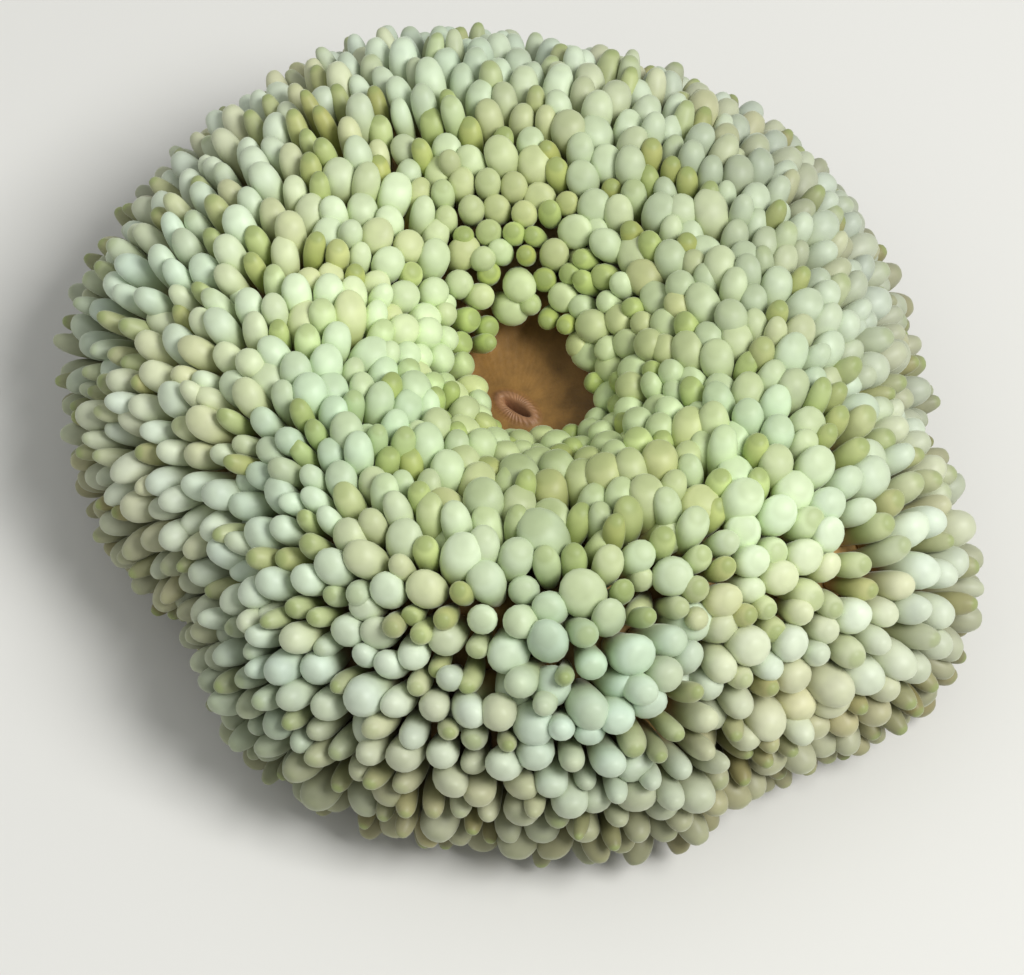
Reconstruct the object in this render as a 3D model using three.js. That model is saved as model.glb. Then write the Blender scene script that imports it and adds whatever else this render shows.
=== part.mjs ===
// Sun anemone, life size, as a still model. Millimetres, +Z up, the mouth faces up.
//
// A short column stands on a flat pedal disc and flares into a wide oral disc. The oral disc is
// a cushion with a sunken bare middle (the peristome) round the mouth. Its rim turns down, it is
// folded into lobes, and all of it but the middle is covered with short stout tentacles.
//
// The tentacles grow in loose rows. Each is the middle of one cell of the disc, and the valleys
// between tentacles are the edges of the cells. The disc is parted into its lobes along valleys.

import * as THREE from 'three';
import { ConvexHull } from 'three/addons/math/ConvexHull.js';

// ---- driving dimensions, mm and degrees ----

// Half section of the oral disc's flesh, as radius and height, from the mouth to under the rim.
const SECTION = [
  [0, 25.0], [7, 25.3], [13.5, 27.2], [20, 32.0], [28, 35.8], [36, 35.4],
  [43.5, 31.0], [49.5, 24.0], [52.8, 16.0], [52.4, 10.5], [49.5, 8.0],
];
const MOUTH_AT = [1.5, -2]; // how far the sunken middle lies off the axis
const OFF_AXIS_REACH = 45; // radius where the disc is round about its own axis again
const CORE = new THREE.Vector3(0, 0, 17); // the point deep in the flesh that all lobes run to

// The sunken middle is an oval, narrower in one direction.
const PIT = { narrow: 30, squeeze: 0.28, reach: 30 }; // degrees, share, and radius where it ends

// The disc's lobes and the bays between them: where each lies (degrees), how far it reaches past
// or short of the round rim, and how much higher it sits.
const LOBE_START = 14; // radius where the lobes begin to show
const LOBE_FULL = 50;
const LOBE_EASE = 1.5; // power by which they grow from the one to the other
const LOBE_WIDE = 15; // degrees, to either side
const LOBES = [
  { name: 'front_right_lobe', at: -72, reach: 1, lift: 0 },
  { name: 'front_right_bay', at: -52, reach: -2, lift: 0 },
  { name: 'right_front_lobe', at: -30, reach: 5.5, lift: -1 },
  { name: 'right_bay', at: -8, reach: -6, lift: -0.3 },
  { name: 'right_back_bay', at: 14, reach: -7, lift: 0 },
  { name: 'back_right_edge', at: 38, reach: -5, lift: 0 },
  { name: 'back_edge_right', at: 62, reach: -4, lift: 0 },
  { name: 'back_edge', at: 86, reach: -4, lift: 0.3 },
  { name: 'back_left_lobe', at: 110, reach: 1, lift: 0.4 },
  { name: 'left_back_lobe', at: 134, reach: 1, lift: 0.6 },
  { name: 'left_lobe', at: 162, reach: 1, lift: 0.9 },
  { name: 'left_edge', at: -168, reach: -3.5, lift: 0.5 },
  { name: 'left_front_bay', at: -146, reach: -9.5, lift: 2 },
  { name: 'front_left_lobe', at: -122, reach: -1.5, lift: 0.2 },
  { name: 'front_edge', at: -96, reach: -2, lift: 0.5 },
];

// Furrows between lobes: each runs from one place to another, given as degrees and radius.
const FURROWS = [
  { name: 'left_back', from: [136, 14], to: [121, 32], wide: 3.4, deep: 4.5 },
  { name: 'front', from: [-76, 17], to: [-90, 41], wide: 3.0, deep: 3.6 },
  { name: 'front_right', from: [-67, 40], to: [-59, 66], wide: 3.2, deep: 4.2 },
  { name: 'right', from: [-40, 22], to: [-4, 48], wide: 3.0, deep: 2.6 },
  { name: 'back_right', from: [60, 25], to: [24, 30], wide: 2.8, deep: 2.6 },
  { name: 'left', from: [176, 52], to: [170, 32], wide: 3.0, deep: 2.8 },
  { name: 'front_left', from: [-118, 46], to: [-97, 44], wide: 3.4, deep: 3.0 },
];
const DEEPEST = 6; // where furrows meet, the disc sinks no further than this

// Tentacles. They are smaller and nearer together round the middle, and stoutest on the front.
const BARE = 13.5; // radius of the bare middle, before it is narrowed
const CANOPY = 7; // from the flesh to the middle of a tentacle's bulb
const PITCH = 4.42; // between neighbours in a row, of those of size 1
const ROW = 3.95; // between rows, likewise
const INNER_SIZE = 0.88;
const OUTER_SIZE = 1.06;
const INNER_UNTIL = 18; // radius
const OUTER_FROM = 42;
const SWOLLEN = { at: [-90, 33], wide: 13, more: 0.16 }; // the stout ones on the front
const SCATTER = 0.55; // of the pitch: how loosely they stand in a row
const SETTLE_STEPS = 12;
const SETTLE_PUSH = 0.35; // of what is lacking, made up in one step
const SETTLE_PROBE = 0.6; // distance over which the canopy's slope is taken for a step
const LEAST_STRETCH = 0.3; // where the canopy is bunched up, the least it counts as
const UPRIGHT = 0.2; // how much those round the middle stand up, away from the wall's own slope
const UPRIGHT_FULL = 16; // radius up to which they do so fully
const UPRIGHT_END = 26;
const FURROW_LEAN = 0.3; // share of a furrow's slope that they lean by
const DROOP = -0.4; // the steepest that one at the rim points down
const TILT = 0.3; // each leans its own way by up to half of this
const LENGTH = 8.1;
const LENGTH_VARIES = 2.2;
const RIM_LONGER = 1.6;
const WIDTH = 4.35;
const WIDTH_VARIES = 1.4;
const RIM_FROM = 44; // radius where the rim's longer, pointed tentacles begin
const RIM_FULL = 54;
const CROWD_STEPS = 25;
const CROWD_PUSH = 0.4;
const STALK_SPRING = 0.5; // of a stalk's stretch, taken back in one step
const CROWD = 0.47; // bulbs press each other apart nearer than this share of their two widths
const VALLEY = 0.68; // the valleys between packed tentacles end this far up to the bulbs
const VALLEY_EASE = 10; // the rows by the bare middle come up to that over this distance
const BLUNT_UNTIL = 28; // radius up to which the solids' tips are blunt, and pointed beyond
const BLUNT = 0.36; // corner of a blunt tip, as a share of the width
const BLUNT_CORNERS = 3;

// Nodes of the disc, each from its first angle to the next one's. Their cuts run in the valleys.
const SECTORS = [
  { name: 'disc_lobe_left_front', from: -150 },
  { name: 'disc_lobe_front', from: -116 },
  { name: 'disc_lobe_front_right', from: -82 },
  { name: 'disc_lobe_right_front', from: -62 },
  { name: 'disc_lobe_right', from: -20 },
  { name: 'disc_lobe_back_right', from: 14 },
  { name: 'disc_lobe_back', from: 60 },
  { name: 'disc_lobe_left_back', from: 126 },
  { name: 'disc_lobe_left', from: 176 },
];
const GAP = 0.32; // left between pieces that meet
const WALL_PASSES = 2; // how often the zigzag of the cuts is evened out
const CORE_GAP = 1; // how far from the core, along its cuts, a lobe's own point lies
const CUT_POINT = { radius: 25, z: 20 }; // halfway out in the flesh, under the crest

// Bare middle and mouth.
const MOUTH = { x: -0.7, y: -2.4, z: 25.1, long: 4.4, wide: 1.1, turn: -38, deep: 2.4 };
const LIP_WIDE = 1.5;
const LIP_HIGH = 0.9;
const LIP_CREST = [0.7, 0.25]; // the crest's outer and inner edge, as shares of the lip's width
const LIP_SEAT_DEEP = 3.2;
const THROAT_NARROWS = 0.1;
const LIP_SIDES = 14;
const MIDDLE_RINGS = [0, 0.5]; // from the bare middle's edge towards the lips

// Column and pedal disc.
const COLUMN_SIDES = 36;
const COLUMN_LEVELS = [0, 0.33, 0.67, 1];
const COLUMN_TOP = 33; // radius where it meets the disc's underside
const COLUMN_FOOT = 30.3; // radius where it meets the pedal disc
const CONE_GAP = 0.48; // under the disc, square to its slope this is about the gap
const COLUMN_WAIST = 1.6; // how far it draws in halfway up
const FLUTES = 18; // shallow lengthwise folds
const FLUTE_DEEP = 0.5;
const PEDAL_RADIUS = 31.5;
const PEDAL_HIGH = 2.6;
const PEDAL_EDGE = 0.8; // how far its edge is rounded in, above and below
const PEDAL_WAVES = 5;
const PEDAL_WAVE = 0.6;

// Colours.
const TENTACLE_GREENS = [0xb4bf94, 0xbcc8a0, 0xc2cda8];
const PERISTOME_BROWN = 0x9a6238;
const LIP_TAN = 0xc09468;
const COLUMN_OLIVE = 0x9c8a62;
const PEDAL_TAN = 0xa98d68;

// ---- small helpers ----

const TURN = 2 * Math.PI;
const ORIGIN = new THREE.Vector2();
const rad = THREE.MathUtils.degToRad;
const clamp = THREE.MathUtils.clamp;
const lerp = THREE.MathUtils.lerp;

// A repeatable number from 0 to 1 for a tentacle and one of its traits.
function chance(index, trait) {
  const wave = Math.sin(index * 12.9898 + trait * 78.233) * 43758.5453;
  return wave - Math.floor(wave);
}

const share = (value, low, high) => clamp((value - low) / (high - low), 0, 1);

// Degrees from one direction to another, -180 to 180.
const degreesFrom = (a, b) => THREE.MathUtils.euclideanModulo(a - b + 180, 360) - 180;

// ---- the oral disc's flesh ----

// The section as close-set stations. Each knows how far along the canopy it lies: the line
// through the tentacles' bulbs, one canopy height off the flesh.
const STATIONS = 400;
const sectionCurve = new THREE.SplineCurve(SECTION.map(([r, z]) => new THREE.Vector2(r, z)));
const stations = sectionStations();

function sectionStations() {
  const flesh = sectionCurve.getPoints(STATIONS);
  const list = [];
  let along = 0;
  for (let i = 0; i <= STATIONS; i += 1) {
    const before = flesh[Math.max(i - 1, 0)];
    const after = flesh[Math.min(i + 1, STATIONS)];
    const slope = after.clone().sub(before).normalize();
    const canopy = new THREE.Vector2(-slope.y, slope.x).multiplyScalar(CANOPY).add(flesh[i]);
    if (i > 0) along += canopy.distanceTo(list[i - 1].canopy);
    list.push({ flesh: flesh[i], canopy, along });
  }
  return list;
}

// The station at a distance along the canopy, between the two nearest.
function stationAt(along) {
  let low = 0;
  let high = STATIONS;
  while (high - low > 1) {
    const middle = (low + high) >> 1;
    if (stations[middle].along > along) high = middle;
    else low = middle;
  }
  const t = share(along, stations[low].along, stations[high].along);
  return {
    flesh: stations[low].flesh.clone().lerp(stations[high].flesh, t),
    canopy: stations[low].canopy.clone().lerp(stations[high].canopy, t),
  };
}

// How deep the furrows are at a place seen from above.
function furrowDepth(x, y) {
  let depth = 0;
  for (const furrow of FURROWS) {
    const start = placed(furrow.from);
    const run = placed(furrow.to).sub(start);
    const here = new THREE.Vector2(x, y).sub(start);
    const t = clamp(here.dot(run) / run.lengthSq(), 0, 1);
    const off = here.distanceTo(run.multiplyScalar(t)) / furrow.wide;
    depth += furrow.deep * Math.exp(-off * off);
  }
  return Math.min(depth, DEEPEST);
}

function placed([degrees, radius]) {
  return new THREE.Vector2(radius, 0).rotateAround(ORIGIN, rad(degrees));
}

// A point of the flesh: an angle round the disc and a distance along the canopy.
function fleshPoint(angle, along, furrowed = 1) {
  const { flesh } = stationAt(along);
  const outward = share(flesh.x, LOBE_START, LOBE_FULL) ** LOBE_EASE;
  let radius = flesh.x;
  let height = flesh.y;
  for (const lobe of LOBES) {
    const off = degreesFrom(THREE.MathUtils.radToDeg(angle), lobe.at) / LOBE_WIDE;
    const swell = Math.exp(-off * off) * outward;
    radius += lobe.reach * swell;
    height += lobe.lift * swell;
  }
  const near = 1 - share(radius, 0, OFF_AXIS_REACH) ** 2;
  const narrow = placed([PIT.narrow, 1]);
  const flat = new THREE.Vector2(radius, 0).rotateAround(ORIGIN, angle);
  const squeeze = PIT.squeeze * (1 - share(radius, 0, PIT.reach) ** 2);
  flat.addScaledVector(narrow, -flat.dot(narrow) * squeeze);
  const x = flat.x + MOUTH_AT[0] * near;
  const y = flat.y + MOUTH_AT[1] * near;
  const ray = new THREE.Vector3(x, y, height).sub(CORE);
  ray.setLength(ray.length() - furrowed * furrowDepth(x, y));
  return ray.add(CORE);
}

// The way a tentacle grows there: square to the flesh, more upright round the middle. It leans
// into a furrow only part of the way, so that those on either bank don't cross.
const PROBE = 1.2;
const LEAST_RADIUS = 4;

function growth(angle, along) {
  const { flesh } = stationAt(along);
  const turn = PROBE / Math.max(flesh.x, LEAST_RADIUS);
  const bank = (a, b) => fleshPoint(a, b, FURROW_LEAN);
  const round = bank(angle + turn, along).sub(bank(angle - turn, along));
  const out = bank(angle, along + PROBE).sub(bank(angle, along - PROBE));
  const way = out.cross(round).normalize();
  way.z += UPRIGHT * (1 - share(flesh.x, UPRIGHT_FULL, UPRIGHT_END));
  way.normalize();
  way.z = Math.max(way.z, DROOP);
  return way.normalize();
}

const canopyPoint = (angle, along) =>
  fleshPoint(angle, along).addScaledVector(growth(angle, along), CANOPY);

// ---- where the tentacles stand ----

const innerStation = stations.find((station) => station.flesh.x > BARE);
const FIRST_ROW = innerStation.along + 1;
const LAST_ROW = stations[STATIONS].along - 2;

// How large the tentacles are at a distance along the canopy.
const sizeAt = (along) =>
  lerp(INNER_SIZE, OUTER_SIZE, share(stationAt(along).flesh.x, INNER_UNTIL, OUTER_FROM));

function sizeOf({ angle, along }) {
  const here = new THREE.Vector2(stationAt(along).flesh.x, 0).rotateAround(ORIGIN, angle);
  const off = here.distanceTo(placed(SWOLLEN.at)) / SWOLLEN.wide;
  return sizeAt(along) * (1 + SWOLLEN.more * Math.exp(-off * off));
}

// Distances along the canopy of the rows, from the bare middle's edge to under the rim.
function rowLevels() {
  const levels = [FIRST_ROW];
  while (levels[levels.length - 1] < LAST_ROW) {
    const last = levels[levels.length - 1];
    levels.push(last + ROW * sizeAt(last));
  }
  const past = levels[levels.length - 1];
  return levels.map((along) => lerp(FIRST_ROW, LAST_ROW, share(along, FIRST_ROW, past)));
}

// One loose row of places. Each second row is staggered.
function rowOfPlaces(level, staggered, firstIndex) {
  const count = Math.round((TURN * stationAt(level).canopy.x) / (PITCH * sizeAt(level)));
  const places = [];
  for (let i = 0; i < count; i += 1) {
    const index = firstIndex + i;
    const stagger = 0.5 * staggered + SCATTER * (chance(index, 1) - 0.5);
    const drift = ROW * SCATTER * (chance(index, 2) - 0.5);
    places.push({ angle: ((i + stagger) / count) * TURN, along: level + drift });
  }
  return places;
}

function tentaclePlaces() {
  const places = [];
  rowLevels().forEach((along, row) => places.push(...rowOfPlaces(along, row % 2, places.length)));
  for (const place of places) place.along = clamp(place.along, FIRST_ROW, LAST_ROW);
  for (let step = 0; step < SETTLE_STEPS; step += 1) settle(places);
  return places;
}

// Places nearer than the pitch push each other apart along the canopy.
function settle(places) {
  const points = places.map(({ angle, along }) => canopyPoint(angle, along));
  const sizes = places.map(sizeOf);
  const pushes = pushedApart(points, (i, j) => (PITCH * (sizes[i] + sizes[j])) / 2, SETTLE_PUSH);
  places.forEach((place, i) => {
    const { angle, along } = place;
    const { flesh } = stationAt(along);
    const turn = SETTLE_PROBE / flesh.x;
    const round = canopyPoint(angle + turn, along).sub(canopyPoint(angle - turn, along));
    const beyond = canopyPoint(angle, along + SETTLE_PROBE);
    const out = beyond.sub(canopyPoint(angle, along - SETTLE_PROBE));
    round.divideScalar(2 * SETTLE_PROBE);
    out.divideScalar(2 * SETTLE_PROBE);
    const sideways = pushes[i].dot(round) / Math.max(round.lengthSq(), LEAST_STRETCH);
    const outward = pushes[i].dot(out) / Math.max(out.lengthSq(), LEAST_STRETCH);
    place.angle += clamp(sideways, -1, 1) / flesh.x;
    place.along = clamp(along + clamp(outward, -1, 1), FIRST_ROW, LAST_ROW);
  });
}

// For each point, the sum of the pushes of those nearer than they want to be.
function pushedApart(points, wanted, strength) {
  const pushes = points.map(() => new THREE.Vector3());
  const between = new THREE.Vector3();
  for (let i = 0; i < points.length; i += 1) {
    for (let j = i + 1; j < points.length; j += 1) {
      between.subVectors(points[i], points[j]);
      const distance = between.length();
      const lacking = wanted(i, j) - distance;
      if (lacking <= 0) continue;
      between.multiplyScalar((strength * lacking) / distance);
      pushes[i].add(between);
      pushes[j].sub(between);
    }
  }
  return pushes;
}

// Each tentacle's root, size and bulb. The bulbs press each other apart, and the rest follows.
function grownTentacles(places) {
  const tentacles = places.map(({ angle, along }, i) => {
    const root = fleshPoint(angle, along);
    const { flesh } = stationAt(along);
    const rim = share(flesh.x, RIM_FROM, RIM_FULL);
    const blunt = flesh.x < BLUNT_UNTIL;
    const size = sizeOf({ angle, along });
    const length = size * (LENGTH + RIM_LONGER * rim + LENGTH_VARIES * (chance(i, 3) - 0.5));
    const width = size * (WIDTH + WIDTH_VARIES * (chance(i, 4) - 0.5));
    const lean = new THREE.Vector3(chance(i, 5), chance(i, 6), chance(i, 3)).subScalar(0.5);
    const way = growth(angle, along).addScaledVector(lean, TILT).normalize();
    const bulb = root.clone().addScaledVector(way, length - width / 2);
    return { angle, along, blunt, root, length, width, bulb };
  });
  const wanted = (i, j) => CROWD * (tentacles[i].width + tentacles[j].width);
  for (let step = 0; step < CROWD_STEPS; step += 1) {
    const pushes = pushedApart(tentacles.map((one) => one.bulb), wanted, CROWD_PUSH);
    tentacles.forEach(({ root, length, width, bulb }, i) => {
      const stalk = bulb.add(pushes[i]).clone().sub(root);
      const stretch = (length - width / 2) / stalk.length() - 1;
      bulb.addScaledVector(stalk, STALK_SPRING * stretch);
    });
  }
  return tentacles;
}

// ---- the cells of the disc ----

// Places are laid on a globe that keeps angles true, with the mouth at one pole and the column
// at the other. The hull of the globe's points joins each to its neighbours, and its triangles
// are the valleys' corners.
const EQUATOR = 0.55; // of the section, where the globe is widest

function globePoints(places) {
  const widths = [0];
  for (let i = 1; i <= STATIONS; i += 1) {
    const step = stations[i].along - stations[i - 1].along;
    widths.push(widths[i - 1] + step / Math.max(stations[i].canopy.x, 1));
  }
  const equator = widths[Math.round(STATIONS * EQUATOR)];
  return places.map(({ angle, along }) => {
    const after = stations.findIndex((station) => station.along >= along);
    const i = after < 1 ? STATIONS : after;
    const t = (along - stations[i - 1].along) / (stations[i].along - stations[i - 1].along);
    const polar = 2 * Math.atan(Math.exp(lerp(widths[i - 1], widths[i], t) - equator));
    const point = new THREE.Vector3(Math.cos(angle), Math.sin(angle), 0);
    return point.multiplyScalar(Math.sin(polar)).setZ(Math.cos(polar));
  });
}

const MIDDLE = 'middle';
const UNDERSIDE = 'underside';

function sectorOf(angle) {
  const degrees = THREE.MathUtils.radToDeg(angle);
  const past = SECTORS.map((sector) => THREE.MathUtils.euclideanModulo(degrees - sector.from, 360));
  return SECTORS[past.indexOf(Math.min(...past))].name;
}

// The corner where three cells meet. Between packed tentacles the valley ends partway up their
// stalks, less so round the bare middle. At either edge of the field the corners lie on the
// flesh, on one even line.
function valleyCorner(trio) {
  const bound = trio.find(({ edge }) => edge !== undefined);
  if (!bound) {
    const points = trio.map(({ root, bulb, along }) =>
      root.clone().lerp(bulb, VALLEY * share(along, FIRST_ROW, FIRST_ROW + VALLEY_EASE)));
    return points[0].add(points[1]).add(points[2]).divideScalar(3);
  }
  const ways = trio.map(({ angle }) => new THREE.Vector2(Math.cos(angle), Math.sin(angle)));
  return fleshPoint(ways[0].add(ways[1]).add(ways[2]).angle(), bound.edge);
}

// A row off either end of the field holds no tentacles, and only bounds the cells.
const boundary = (level, sector, edge) =>
  rowOfPlaces(level, 0, 0).map((place) => ({ ...place, sector, edge }));

// Every cell with its tentacle and its sides in order, and the valley corners that cells share.
// Each side starts at a corner and has a neighbour across it.
function discCells() {
  const tentacles = grownTentacles(tentaclePlaces());
  const seeds = [
    ...tentacles.map((tentacle) => ({ ...tentacle, sector: sectorOf(tentacle.angle) })),
    ...boundary(FIRST_ROW - ROW, MIDDLE, FIRST_ROW - ROW / 2),
    ...boundary(LAST_ROW + ROW, UNDERSIDE, stations[STATIONS].along),
  ];
  const points = globePoints(seeds);
  const indexOf = new Map(points.map((point, i) => [point, i]));
  const corners = [];
  const around = seeds.map(() => new Map());
  for (const face of new ConvexHull().setFromPoints(points).faces) {
    const trio = [0, 1, 2].map((i) => indexOf.get(face.getEdge(i).head().point));
    trio.forEach((seed, i) => {
      const next = { corner: corners.length, neighbour: trio[(i + 2) % 3] };
      around[seed].set(trio[(i + 1) % 3], next);
    });
    corners.push(valleyCorner(trio.map((i) => seeds[i])));
  }
  const cells = tentacles.map((tentacle, i) => {
    const sides = [];
    let neighbour = around[i].keys().next().value;
    do {
      const side = around[i].get(neighbour);
      sides.push({ corner: side.corner, across: seeds[side.neighbour].sector });
      neighbour = side.neighbour;
    } while (sides.length < around[i].size);
    return { ...seeds[i], sides };
  });
  return { cells, corners };
}

const { cells, corners } = discCells();
for (let pass = 0; pass < WALL_PASSES; pass += 1) straightenWalls();

// Draws the corners between two lobes nearer to the line of their neighbours along the wall.
function straightenWalls() {
  const beside = new Map();
  for (const { sector, sides } of cells) {
    sides.forEach((side, i) => {
      if (side.across === sector) return;
      const pair = [side.corner, sides[(i + 1) % sides.length].corner];
      pair.forEach((corner, k) => {
        if (!beside.has(corner)) beside.set(corner, new Set());
        beside.get(corner).add(pair[1 - k]);
      });
    });
  }
  const moved = [...beside].filter(([, ends]) => ends.size === 2).map(([corner, ends]) => {
    const [a, b] = [...ends].map((end) => corners[end]);
    return [corner, a.clone().lerp(b, 0.5).lerp(corners[corner], 0.5)];
  });
  for (const [corner, point] of moved) corners[corner] = point;
}

// The sides of some cells that face certain sectors, as edges joined end to end in one loop.
function edgeLoop(someCells, faces) {
  const edges = new Map();
  for (const { sides } of someCells) {
    sides.forEach(({ corner, across }, i) => {
      const until = sides[(i + 1) % sides.length].corner;
      if (faces(across)) edges.set(corner, { corner, until, across });
    });
  }
  const loop = [edges.values().next().value];
  while (loop.length < edges.size) loop.push(edges.get(loop[loop.length - 1].until));
  if (new Set(loop).size !== edges.size) throw new Error('the edge of a piece is not one loop');
  return loop;
}

// A loop drawn in by half the gap, square to the walls that run from it to their own points. At
// a sharp turn of the loop the mitre is cut short.
const LEAST_MITRE = 0.8;

function drawnIn(loop, wallPoint) {
  const walls = loop.map(({ corner, until, across }) => {
    const start = corners[corner];
    return start.clone().sub(wallPoint(across)).cross(corners[until].clone().sub(start)).normalize();
  });
  return loop.map(({ corner }, i) => {
    const mitre = walls[i].clone().add(walls[(i + loop.length - 1) % loop.length]);
    const sharp = Math.max(mitre.lengthSq(), LEAST_MITRE);
    return corners[corner].clone().addScaledVector(mitre, GAP / sharp);
  });
}

// ---- solids ----

// Points and triangles of one closed body.
class Body {
  points = [];

  triangles = [];

  add(point) {
    this.points.push(point.x, point.y, point.z);
    return this.points.length / 3 - 1;
  }

  face(a, b, c) {
    this.triangles.push(a, b, c);
  }

  geometry() {
    const geometry = new THREE.BufferGeometry();
    geometry.setAttribute('position', new THREE.Float32BufferAttribute(this.points, 3));
    geometry.setIndex(this.triangles);
    geometry.computeVertexNormals();
    return geometry;
  }
}

// A body of rings, each counter-clockwise from above, closed by a fan at either end.
function ringBody(rings, start, end) {
  const body = new Body();
  const rows = rings.map((ring) => ring.map((point) => body.add(point)));
  const count = rings[0].length;
  const first = body.add(start);
  const last = body.add(end);
  const top = rows[rows.length - 1];
  for (let i = 0; i < count; i += 1) {
    const j = (i + 1) % count;
    body.face(first, rows[0][j], rows[0][i]);
    for (let row = 1; row < rows.length; row += 1) {
      const [low, high] = [rows[row - 1], rows[row]];
      body.face(low[i], low[j], high[j]);
      body.face(low[i], high[j], high[i]);
    }
    body.face(last, top[i], top[j]);
  }
  return body.geometry();
}

// One tentacle on its cell: a blunt one round the middle, and a pointed one farther out.
function addTentacle(body, cell, rim) {
  const stalk = cell.bulb.clone().sub(cell.root).normalize();
  const count = rim.length;
  if (!cell.blunt) {
    const tip = body.add(cell.bulb.clone().addScaledVector(stalk, cell.width / 2));
    for (let i = 0; i < count; i += 1) body.face(rim[i].id, rim[(i + 1) % count].id, tip);
    return;
  }
  const cornerOf = (side) => Math.floor((side * BLUNT_CORNERS) / count) % BLUNT_CORNERS;
  const spread = Array.from({ length: BLUNT_CORNERS }, () => new THREE.Vector3());
  for (let i = 0; i < count; i += 1) {
    spread[cornerOf(i)].add(rim[i].point).add(rim[(i + 1) % count].point);
    spread[cornerOf(i)].addScaledVector(cell.root, -2);
  }
  const top = spread.map((way) => {
    way.addScaledVector(stalk, -way.dot(stalk)).setLength(cell.width * BLUNT);
    return body.add(way.add(cell.bulb).addScaledVector(stalk, cell.width * BLUNT));
  });
  for (let i = 0; i < count; i += 1) {
    const j = (i + 1) % count;
    const here = cornerOf(i);
    const next = i === count - 1 ? 0 : cornerOf(i + 1);
    body.face(rim[i].id, rim[j].id, top[here]);
    if (next !== here) body.face(rim[j].id, top[next], top[here]);
  }
  body.face(top[0], top[1], top[2]);
}

// A level direction, from degrees and a length.
const level = (degrees, length) => new THREE.Vector3(...placed([degrees, length]), 0);

// One lobe of the disc with its tentacles. Its inner and under walls run to its own point beside
// the core. Each cut between two lobes runs to a point halfway out in the flesh.
function discLobe(sector, index) {
  const before = SECTORS[(index + SECTORS.length - 1) % SECTORS.length];
  const after = SECTORS[(index + 1) % SECTORS.length];
  const halfway = THREE.MathUtils.euclideanModulo(after.from - sector.from, 360) / 2;
  const cutPoint = (degrees) => level(degrees, CUT_POINT.radius).setZ(CUT_POINT.z);
  const wallPoints = { [before.name]: cutPoint(sector.from), [after.name]: cutPoint(after.from) };
  const wallPoint = (across) => wallPoints[across] ?? CORE;

  const mine = cells.filter((cell) => cell.sector === sector.name);
  const loop = edgeLoop(mine, (across) => across !== sector.name);
  const edgePoints = drawnIn(loop, wallPoint);
  const body = new Body();
  const shared = new Map();
  loop.forEach(({ corner }, i) => {
    shared.set(corner, { id: body.add(edgePoints[i]), point: edgePoints[i] });
  });

  const inward = level(sector.from + halfway, CORE_GAP / Math.cos(rad(halfway)));
  const core = body.add(CORE.clone().add(inward));
  const ends = {
    [before.name]: body.add(cutPoint(sector.from).add(level(sector.from + 90, GAP))),
    [after.name]: body.add(cutPoint(after.from).add(level(after.from - 90, GAP))),
  };
  loop.forEach(({ corner, until, across }, i) => {
    const end = ends[across] ?? core;
    const nextEnd = ends[loop[(i + 1) % loop.length].across] ?? core;
    body.face(shared.get(until).id, shared.get(corner).id, end);
    if (nextEnd !== end) body.face(shared.get(until).id, end, nextEnd);
  });

  for (const cell of mine) {
    const rim = cell.sides.map(({ corner }) => {
      const point = corners[corner];
      if (!shared.has(corner)) shared.set(corner, { id: body.add(point), point });
      return shared.get(corner);
    });
    addTentacle(body, cell, rim);
  }
  return body.geometry();
}

// A point of an oval round the mouth, in a given direction from its middle.
function mouthOval(angle, long, wide, z) {
  const off = angle - rad(MOUTH.turn);
  const radius = (long * wide) / Math.hypot(wide * Math.cos(off), long * Math.sin(off));
  return new THREE.Vector3(
    MOUTH.x + radius * Math.cos(angle),
    MOUTH.y + radius * Math.sin(angle),
    z,
  );
}

// The bare middle: a plug that narrows down to the core, dished, with a seat for the lips.
function peristome() {
  const lobesEdge = edgeLoop(cells, (across) => across === MIDDLE);
  const plugEdge = lobesEdge.map(({ corner, until }) => ({ corner: until, until: corner })).reverse();
  const edge = drawnIn(plugEdge, () => CORE);
  const long = MOUTH.long / 2 + LIP_WIDE + GAP;
  const wide = MOUTH.wide / 2 + LIP_WIDE + GAP;
  const seat = (z) => edge.map((point) => {
    const angle = Math.atan2(point.y - MOUTH.y, point.x - MOUTH.x);
    return mouthOval(angle, long, wide, z);
  });
  const brink = seat(MOUTH.z);
  const rings = MIDDLE_RINGS.map((t) => edge.map((point, i) => {
    const between = point.clone().lerp(brink[i], t);
    return between.setZ(lerp(point.z, MOUTH.z, 1 - (1 - t) ** 2));
  }));
  const floor = seat(MOUTH.z - LIP_SEAT_DEEP);
  const low = new THREE.Vector3(MOUTH.x, MOUTH.y, MOUTH.z - LIP_SEAT_DEEP);
  return ringBody([...rings, brink, floor], CORE.clone().setZ(CORE.z + GAP), low);
}

// The lips: an oval ring of flesh round a slit that goes down a little way.
function lips() {
  const oval = (grow, z) => Array.from({ length: LIP_SIDES }, (_, i) =>
    mouthOval((i / LIP_SIDES) * TURN, MOUTH.long / 2 + grow, MOUTH.wide / 2 + grow, z));
  const under = MOUTH.z - LIP_SEAT_DEEP + GAP;
  const throat = MOUTH.z - MOUTH.deep;
  const rings = [
    oval(LIP_WIDE, under),
    oval(LIP_WIDE, MOUTH.z),
    ...LIP_CREST.map((crest) => oval(LIP_WIDE * crest, MOUTH.z + LIP_HIGH)),
    oval(0, MOUTH.z),
    oval(-THROAT_NARROWS, throat),
  ];
  const middle = (z) => new THREE.Vector3(MOUTH.x, MOUTH.y, z);
  return ringBody(rings, middle(under), middle(throat));
}

// The height of the lobes' underside at a radius: the lowest within one side of the column.
const NEAR = 1.6 * (TURN / COLUMN_SIDES);
const undersideLoop = edgeLoop(cells, (across) => across === UNDERSIDE)
  .map(({ corner }) => corners[corner].clone().sub(CORE));

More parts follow.
